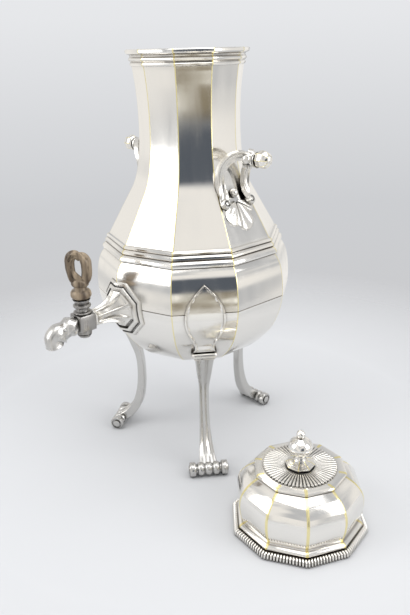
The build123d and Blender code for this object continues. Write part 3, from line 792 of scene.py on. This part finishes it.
# %% Key
CAMERA_TURN = 48.75
KEY_HALF_WIDTH, KEY_HALF_DEPTH, KEY_TOP = 12.0, 4.4, 241.0
BULB = [(0, 194.6), (6.0, 194.6), (6.4, 195.4), (8.4, 196.0), (9.4, 197.6), (9.6, 199.4), (9.2, 201.6),
        (8.0, 203.2), (6.0, 203.6), (5.6, 204.4), (5.6, 206.6), (0, 207.0)]
STEMS = [
    ([(-3.0, 0.8, 209), (-6.0, 0.6, 215), (-7.4, 0.2, 222), (-7.6, 0, 229.5), (-6.0, -0.4, 234.6),
      (-2.2, -0.6, 236.4), (1.6, -0.4, 235.0)], [4.0, 4.6, 4.6, 4.6, 4.6, 4.4, 3.2], 4),
    ([(2.6, -0.8, 209), (6.0, -0.4, 214.4), (7.2, 0.2, 221.0), (7.0, 0.6, 228.4), (4.8, 0.8, 233.0),
      (1.0, 0.6, 234.2), (-1.4, 0.2, 232.0)], [4.2, 5.0, 5.2, 5.2, 4.8, 3.8, 2.6], 4),
    ([(-7.6, -2.6, 231.0), (-4.6, -2.8, 236.0), (-0.4, -2.8, 237.2), (3.6, -2.4, 233.6), (5.4, -1.8, 227.0)],
     [2.2, 2.8, 3.0, 2.6, 1.8], 2),
    ([(5.6, -2.6, 209.0), (1.6, -3.0, 213.0), (-2.6, -2.8, 217.6), (-5.6, -2.0, 222.4)],
     [2.6, 3.0, 2.6, 1.6], 2),
    ([(-1.6, 2.4, 208), (-2.6, 2.6, 212), (-4.4, 2.2, 216.4)], [2.4, 2.6, 1.4], 2)]


def clipped(value, limit):
    """A value kept within a limit either way."""
    return max(-limit, min(limit, value))


def stem(points, radii, flutes):
    """A carved stem: a tube along a curve, cut with shallow leaf flutes."""
    line, radius_line = smooth(points), sizes(radii)

    def rule(u, v):
        spot, radius = along(line, v), along(radius_line, v).x
        ahead = (along(line, v + 0.03) - along(line, v - 0.03)).normalized()
        wide = ahead.cross(Vector((0, 1, 0))).normalized()
        deep = wide.cross(ahead)
        turn = 2 * math.pi * u
        cut = 1 - 0.32 * (1 - abs(math.sin(flutes * turn / 2 + 2.2 * v))) ** 1.5
        point = spot + (wide * math.cos(turn) + deep * 1.05 * math.sin(turn)) * radius * cut
        across, deep_in = clipped(point.x, KEY_HALF_WIDTH), clipped(point.y, KEY_HALF_DEPTH)
        return Vector((across, deep_in, min(point.z, KEY_TOP)))
    return tube(28, 60, rule)


knot_shape = Matrix.Translation((0, 0, 209.6)) @ Matrix.Diagonal((8.2, 6.4, 5.4, 1))
knot = moved(ball(1.0, (0, 0, 0), 28, 18), knot_shape)
key = joined(spun(BULB, 48), knot, *[stem(*parts) for parts in STEMS])
finished(key, "key handle", "key_handle", "key", [wood], 60,
         plug_place @ turned_about(CAMERA_TURN))

# %% [markdown]
# ## Lid
# The lid was lifted off and stands on the table. Its rim is a gadrooned border: short rounded ribs bent over
# a hollow edge that drops round the urn's lip. Gadroons are often stamped in long strips, and this is one
# such strip: a rounded section carried along ten straight sides, with its ribs cut in by a sine.

# %% Gadrooned border
LID_PLACE = Matrix.Translation((183.4, -43.7, 0)) @ turned_about(11.5)
RIBS = 14
RIB_DEPTH = 1.7
border_section = smooth([(54.2, 6.5), (56.2, 7.4), (58.0, 6.8), (59.3, 5.2), (59.8, 3.2), (59.4, 1.2),
                         (58.4, 0.15)], 3) + [Vector((56.2, 0.1))]
BORDER_STEP = [(55.9, 0.0), (56.9, 0.1), (56.4, 4.0), (54.4, 5.4), (54.4, 7.2), (54.9, 7.7), (55.1, 8.5),
               (50.4, 8.5), (50.4, 3.6), (55.9, 3.6)]


def border_rule(u, v):
    """Gadroons along ten straight sides, bent over the rim's section."""
    side = min(int(u * SIDES), SIDES - 1)
    part = u * SIDES - side
    spot = along(border_section, v)
    ahead = along(border_section, v + 0.05) - along(border_section, v - 0.05)
    out = Vector((-ahead.y, ahead.x)).normalized()
    rib = abs(math.sin(math.pi * RIBS * part)) ** 0.7
    depth = RIB_DEPTH * (rib - 1) * math.sin(math.pi * min(max(v, 0.0), 1.0)) ** 0.35
    flat, height = spot.x + out.x * depth, max(spot.y + out.y * depth, 0.0)
    point = Vector((flat, (2 * part - 1) * flat * math.tan(HALF), height))
    return Matrix.Rotation(2 * HALF * side, 3, "Z") @ point


border = joined(gored(BORDER_STEP, 0.7, start=HALF), laid(SIDES * RIBS * 6, 12, border_rule))
finished(border, "lid border", "lid_border", "lid", [silver, worn], 50, LID_PLACE)

# %% [markdown]
# ### Dome
# Above the border the dome swells in ten sides and steps in to a flat crown. It is made as the body is, from
# one closed section turned in ten steps, with the yellow wear widest here because the lid is handled most.

# %% Dome
dome_line = (smooth([(54.6, 8.4), (54.2, 9.6), (52.4, 11.0)], 4)
             + smooth([(51.4, 11.4), (51.5, 13.0), (52.5, 16.5), (53.9, 23), (54.7, 30.5), (54.2, 37),
                       (52.4, 42.4)], 5)
             + smooth([(52.3, 42.6), (49.6, 46.4), (45.6, 50.6), (38.6, 55.4)], 5))
CROWN = [(38.4, 55.5), (39.2, 56.2), (39.4, 57.8), (38.8, 58.8), (37.4, 59.1), (33.4, 59.2), (2, 59.2)]
DOME_INSIDE = [(2, 57.6), (36.8, 57.6), (36.8, 54.8), (44.6, 49.4), (50.6, 42.4), (53.3, 31), (51.0, 15.4),
               (50.0, 12.4), (50.0, 8.5)]
dome = gored([tuple(p) for p in dome_line] + CROWN + DOME_INSIDE, 1.4, start=HALF)
finished(dome, "lid dome", "lid_dome", "lid", [silver, worn], 12, LID_PLACE)

# %% [markdown]
# ### Rosette
# A cast rosette of sixty narrow ribs lies on the crown. It is a ring-shaped sheet whose height and outer edge
# both follow the ribs, so that each ends in its own small lobe.

# %% Rosette
ROSETTE_RIBS = 60
CROWN_LEVEL = 59.2
ROSETTE_HOLE, ROSETTE_REACH, ROSETTE_LOBE = 9.0, 32.5, 1.9
ROSETTE_EDGE = 0.94


def rosette_rule(u, v):
    """Ribs from the knob's foot out to a lobed edge."""
    turn = 2 * math.pi * u
    rib = abs(math.cos(ROSETTE_RIBS / 2 * turn))
    edge = ROSETTE_REACH - ROSETTE_LOBE * (1 - rib ** 0.5)
    reach = ROSETTE_HOLE + (edge - ROSETTE_HOLE) * min(v / ROSETTE_EDGE, 1.0)
    height = 60.0 + 1.3 * rib ** 0.6 * between(v, 0.02, 0.5) - 0.25 * between(v, 0.7, ROSETTE_EDGE)
    if v > ROSETTE_EDGE:
        height = CROWN_LEVEL + (height - CROWN_LEVEL) * (1 - (v - ROSETTE_EDGE) / (1 - ROSETTE_EDGE))
    return Vector((reach * math.cos(turn), reach * math.sin(turn), height))


finished(laid(12 * ROSETTE_RIBS, 26, rosette_rule), "lid rosette", "lid_rosette", "lid",
         [ornament], 45, LID_PLACE)

# %% [markdown]
# ### Knob
# The knob is a squat ball with a bead on top. It stands on an octagonal foot, faceted like the body, that
# rises in steps to a narrow stem.

# %% Foot, knob and bead
FINIAL_FOOT = [(2, 61.0), (12.2, 61.0), (12.3, 61.9), (11.3, 62.2), (11.1, 62.9), (9.8, 63.2), (9.5, 63.9),
               (7.4, 64.3), (6.2, 65.0), (5.8, 66.4), (5.4, 67.0), (2, 67.0)]
FINIAL_STEM = [(2, 67.0), (5.4, 67.0), (4.6, 68.4), (4.4, 70.4), (5.2, 71.8)]
knob_line = smooth([(6.6, 72.4), (9.4, 74.4), (10.8, 77.8), (10.5, 81.4), (8.4, 84.8), (4.8, 86.8),
                    (2.6, 88.0)], 4)
for name, bm, finishes, crease in (
        ("finial base", gored(FINIAL_FOOT, 0.4, 8, math.pi / 8), [ornament, worn], 26),
        ("finial knob", spun(FINIAL_STEM + knob_line + [(0, 88.0)], 40), [silver, worn], 30),
        ("finial ball", ball(4.0, (0, 0, 91.0)), [silver], 40)):
    finished(bm, name, name.replace(" ", "_"), "lid", finishes, crease, LID_PLACE)

# %% [markdown]
# ## Table
# The table is a disc of plain pale paper that takes the urn's shadow. A floor with an edge would draw a line
# behind the object, and one without end would show a horizon. So the paper fades out with distance from the
# urn, and the backdrop behind it has nearly the same tone.

# %% Table
def arithmetic(tree, operation, a, b):
    """A sum, product or other step between two values."""
    return node(tree, "ShaderNodeMath", {0: a, 1: b}, operation=operation).outputs["Value"]


paper, paper_shader = material("pale paper", (0.63, 0.635, 0.645), 0.0, 0.9)
paper_shader.inputs["Specular IOR Level"].default_value = 0.2
paper_tree = paper.node_tree
paper_place = node(paper_tree, "ShaderNodeTexCoord").outputs["Object"]
distance = node(paper_tree, "ShaderNodeVectorMath", {0: paper_place}, operation="LENGTH").outputs["Value"]
fade = spread(paper_tree, distance, 0.0, 1.0, 0.27, 0.60)
feed(paper_tree, paper_shader.inputs["Alpha"], arithmetic(paper_tree, "SUBTRACT", 1.0, fade))

TABLE_RADIUS = 0.7
disc = bmesh.new()
bmesh.ops.create_circle(disc, cap_ends=True, segments=96, radius=TABLE_RADIUS)
table_mesh = bpy.data.meshes.new("table")
disc.to_mesh(table_mesh)
disc.free()
table_mesh.materials.append(paper)
table = bpy.data.objects.new("table", table_mesh)
bpy.context.scene.collection.objects.link(table)
print("table is", 2 * TABLE_RADIUS, "m across")

# %% [markdown]
# ## Backdrop
# The world has no walls, so what the eye sees past the table is a colour that depends on where it looks: a
# ramp of pale greys, darker at the height of the table's far edge and lighter above. The darker band is
# painted shade, as where a backdrop curves up and turns away from the light.

# %% Backdrop for the eye
# Painted shade: the darker stops from 0.18 to 0.39 stand for a backdrop turning away from the light.
BACKDROP = [(0.06, (0.79, 0.79, 0.80)), (0.112, (0.75, 0.755, 0.77)), (0.18, (0.62, 0.625, 0.64)),
            (0.25, (0.595, 0.60, 0.615)), (0.39, (0.61, 0.62, 0.64)), (0.51, (0.69, 0.70, 0.72)),
            (0.64, (0.79, 0.80, 0.82)), (1.0, (0.90, 0.91, 0.93))]
world = bpy.data.worlds.new("studio")
bpy.context.scene.world = world
world.use_nodes = True
room = world.node_tree
ray = node(room, "ShaderNodeTexCoord").outputs["Generated"]
ray_height = node(room, "ShaderNodeSeparateXYZ", {"Vector": ray}).outputs["Z"]
ramp = node(room, "ShaderNodeValToRGB", {"Fac": spread(room, ray_height, 0.0, 1.0, -0.6, 0.4)})
stops = ramp.color_ramp.elements
stops[0].position, stops[1].position = BACKDROP[0][0], BACKDROP[-1][0]
stops[0].color, stops[1].color = (*BACKDROP[0][1], 1), (*BACKDROP[-1][1], 1)
for spot, tone in BACKDROP[1:-1]:
    stops.new(spot).color = (*tone, 1)
backdrop = ramp.outputs["Color"]
print("backdrop tones:", len(stops))

# %% [markdown]
# ## What the silver reflects
# Polished metal has hardly a colour of its own; it shows what stands round it. In an even white room it looks
# like plaster. So the reflections get a room of their own: pale walls in soft patches, a dark doorway for the
# front gore to show, and under its sill a patch of gilt and white, which the flare of the neck picks up.

# %% Room for the metal
DOOR_TURN = CAMERA_TURN + 10.5
DOOR_TONE = (0.10, 0.115, 0.14, 1)
GILT_TONES = [(0.26, 0.22, 0.15, 1), (1.12, 1.10, 1.02, 1)]
WALL_TONES = [(0.56, 0.57, 0.59, 1), (0.95, 0.93, 0.90, 1)]
MATT_TONE = (0.78, 0.79, 0.81, 1)


def way_round(degrees):
    """The level direction from the urn at an angle round from the tap's side."""
    turn = math.radians(degrees)
    return Vector((math.sin(turn), -math.cos(turn), 0))


level_ray = node(room, "ShaderNodeVectorMath", {0: ray, 1: (1, 1, 0)}, operation="MULTIPLY")
level_way = node(room, "ShaderNodeVectorMath", {0: level_ray.outputs["Vector"]}, operation="NORMALIZE")
to_door = {0: level_way.outputs["Vector"], 1: way_round(DOOR_TURN)}
facing = node(room, "ShaderNodeVectorMath", to_door, operation="DOT_PRODUCT").outputs["Value"]
in_doorway = spread(room, facing, 0.0, 1.0, 0.955, 0.985)
above_sill = spread(room, ray_height, 0.0, 1.0, -0.16, -0.08)
below_head = spread(room, ray_height, 1.0, 0.0, 0.34, 0.46)
below_sill = spread(room, ray_height, 1.0, 0.0, -0.12, -0.08)
door = arithmetic(room, "MULTIPLY", in_doorway, arithmetic(room, "MULTIPLY", above_sill, below_head))
floor_patch = arithmetic(room, "MULTIPLY", in_doorway, below_sill)

broad = node(room, "ShaderNodeTexNoise", {"Vector": ray, "Scale": 2.6, "Detail": 2.0}).outputs["Fac"]
walls = blend(room, spread(room, broad, 0.0, 1.0, 0.40, 0.58), *WALL_TONES)
fine = node(room, "ShaderNodeTexNoise", {"Vector": ray, "Scale": 9.0, "Detail": 3.0}).outputs["Fac"]
gilt = blend(room, spread(room, fine, 0.0, 1.0, 0.43, 0.50), *GILT_TONES)
shown = blend(room, door, blend(room, floor_patch, walls, gilt), DOOR_TONE)
print("door faces", DOOR_TURN, "degrees round from the tap")

# %% [markdown]
# ## Which ray sees which room
# The world asks each ray what it is. Rays from the camera get the backdrop, glossy ones get the room for the
# metal, and all the rest get one plain grey, which is the soft light that fills the shadows.

# %% Join the rooms
rays = node(room, "ShaderNodeLightPath")
not_the_eye = blend(room, rays.outputs["Is Glossy Ray"], MATT_TONE, shown)
background = room.nodes["Background"]
feed(room, background.inputs["Color"], blend(room, rays.outputs["Is Camera Ray"], not_the_eye, backdrop))
background.inputs["Strength"].default_value = 1.0
print("world nodes:", len(room.nodes))

# %% [markdown]
# ## Lights
# Three big soft panels, like windows with blinds: one on each side of the camera and one overhead. Large
# lights give long soft highlights on metal and a shadow with no hard edge under the feet.

# %% Lights
def window(name, azimuth, distance, height, target_height, size, power):
    """A soft rectangular light, placed by its angle to the camera's right, that looks at the urn."""
    light = bpy.data.lights.new(name, "AREA")
    light.shape = "RECTANGLE"
    light.size, light.size_y = size
    light.energy = power
    place = distance * way_round(CAMERA_TURN + azimuth) + Vector((0, 0, height))
    made = bpy.data.objects.new(name, light)
    made.location = place
    made.rotation_euler = (Vector((0, 0, target_height)) - place).to_track_quat("-Z", "Y").to_euler()
    bpy.context.scene.collection.objects.link(made)
    print(name, "stands at", [round(side, 2) for side in place])


window("left window", -75, 1.5, 0.9, 0.2, (1.0, 1.4), 10)
window("right window", 62, 1.5, 0.8, 0.2, (0.9, 1.3), 11)
window("top", 20, 0.3, 1.9, 0.1, (1.6, 1.6), 12)

# %% [markdown]
# ## Camera
# The camera stands where the photograph was taken from. Its place was worked out from how wide and how open
# the ten-sided rims look. It is written as an angle round the urn, a distance and a height, with a small yaw
# and a small roll.

# %% Camera
CAMERA_BACK, CAMERA_HEIGHT = 0.66253, 0.40405
YAW, PITCH, ROLL = math.radians(0.88), math.radians(21.21), math.radians(-1.4)
SENSOR = 36
PHOTO_HEIGHT_PIXELS, FOCAL_PIXELS = 615, 665.38
ahead = Vector((math.sin(YAW) * math.cos(PITCH), math.cos(YAW) * math.cos(PITCH), -math.sin(PITCH)))
level = Vector((math.cos(YAW), -math.sin(YAW), 0))
above = level.cross(ahead)
right = math.cos(ROLL) * level + math.sin(ROLL) * above
upright = -math.sin(ROLL) * level + math.cos(ROLL) * above
axes = Matrix((right, upright, -ahead)).transposed().to_4x4()
camera_data = bpy.data.cameras.new("camera")
camera_data.sensor_fit = "AUTO"
camera_data.sensor_width = SENSOR
camera_data.lens = SENSOR * FOCAL_PIXELS / PHOTO_HEIGHT_PIXELS
camera = bpy.data.objects.new("camera", camera_data)
bpy.context.scene.collection.objects.link(camera)
camera.matrix_world = turned_about(CAMERA_TURN) @ Matrix.Translation((0, -CAMERA_BACK, CAMERA_HEIGHT)) @ axes
bpy.context.scene.camera = camera
bpy.context.scene.view_settings.view_transform = "Standard"
print("lens", round(camera_data.lens, 1), "mm")
